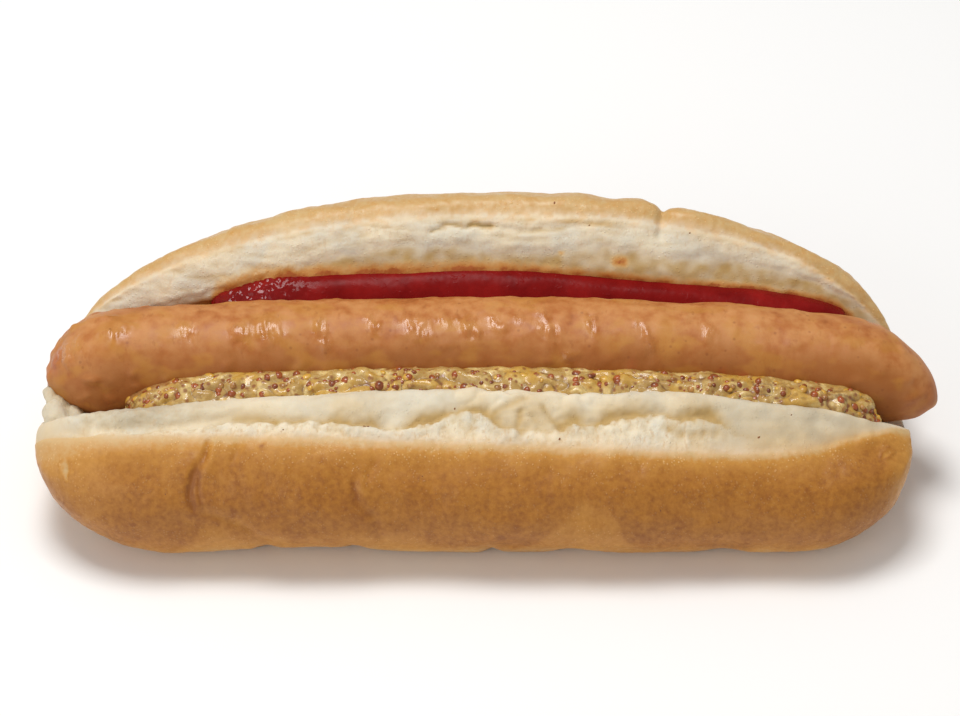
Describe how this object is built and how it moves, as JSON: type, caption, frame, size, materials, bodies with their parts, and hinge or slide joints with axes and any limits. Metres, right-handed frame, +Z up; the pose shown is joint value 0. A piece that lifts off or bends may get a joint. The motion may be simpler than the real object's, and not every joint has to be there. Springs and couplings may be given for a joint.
{
  "type": "hot dog",
  "caption": "Long soft bun slit along its top and opened, holding a sausage, with ketchup behind the sausage and grainy mustard in front of it.",
  "frame": {"origin": "on the table, under the middle of the whole hot dog", "axes": "+X along the bun, +Z up, -Y out of the lower, opened front half"},
  "size_m": [0.1746, 0.0684, 0.0474],
  "materials": {
    "bread": "soft golden brown crust with a slight sheen, pale crumb on the cut faces",
    "sausage_skin": "cooked, moist and glossy",
    "ketchup": "wet and glossy",
    "mustard": "wet paste with whole seeds"
  },
  "bodies": {
    "root": {"bun": "bread", "sausage": "sausage_skin", "ketchup": "ketchup", "mustard": "mustard"}
  },
  "joints": []
}
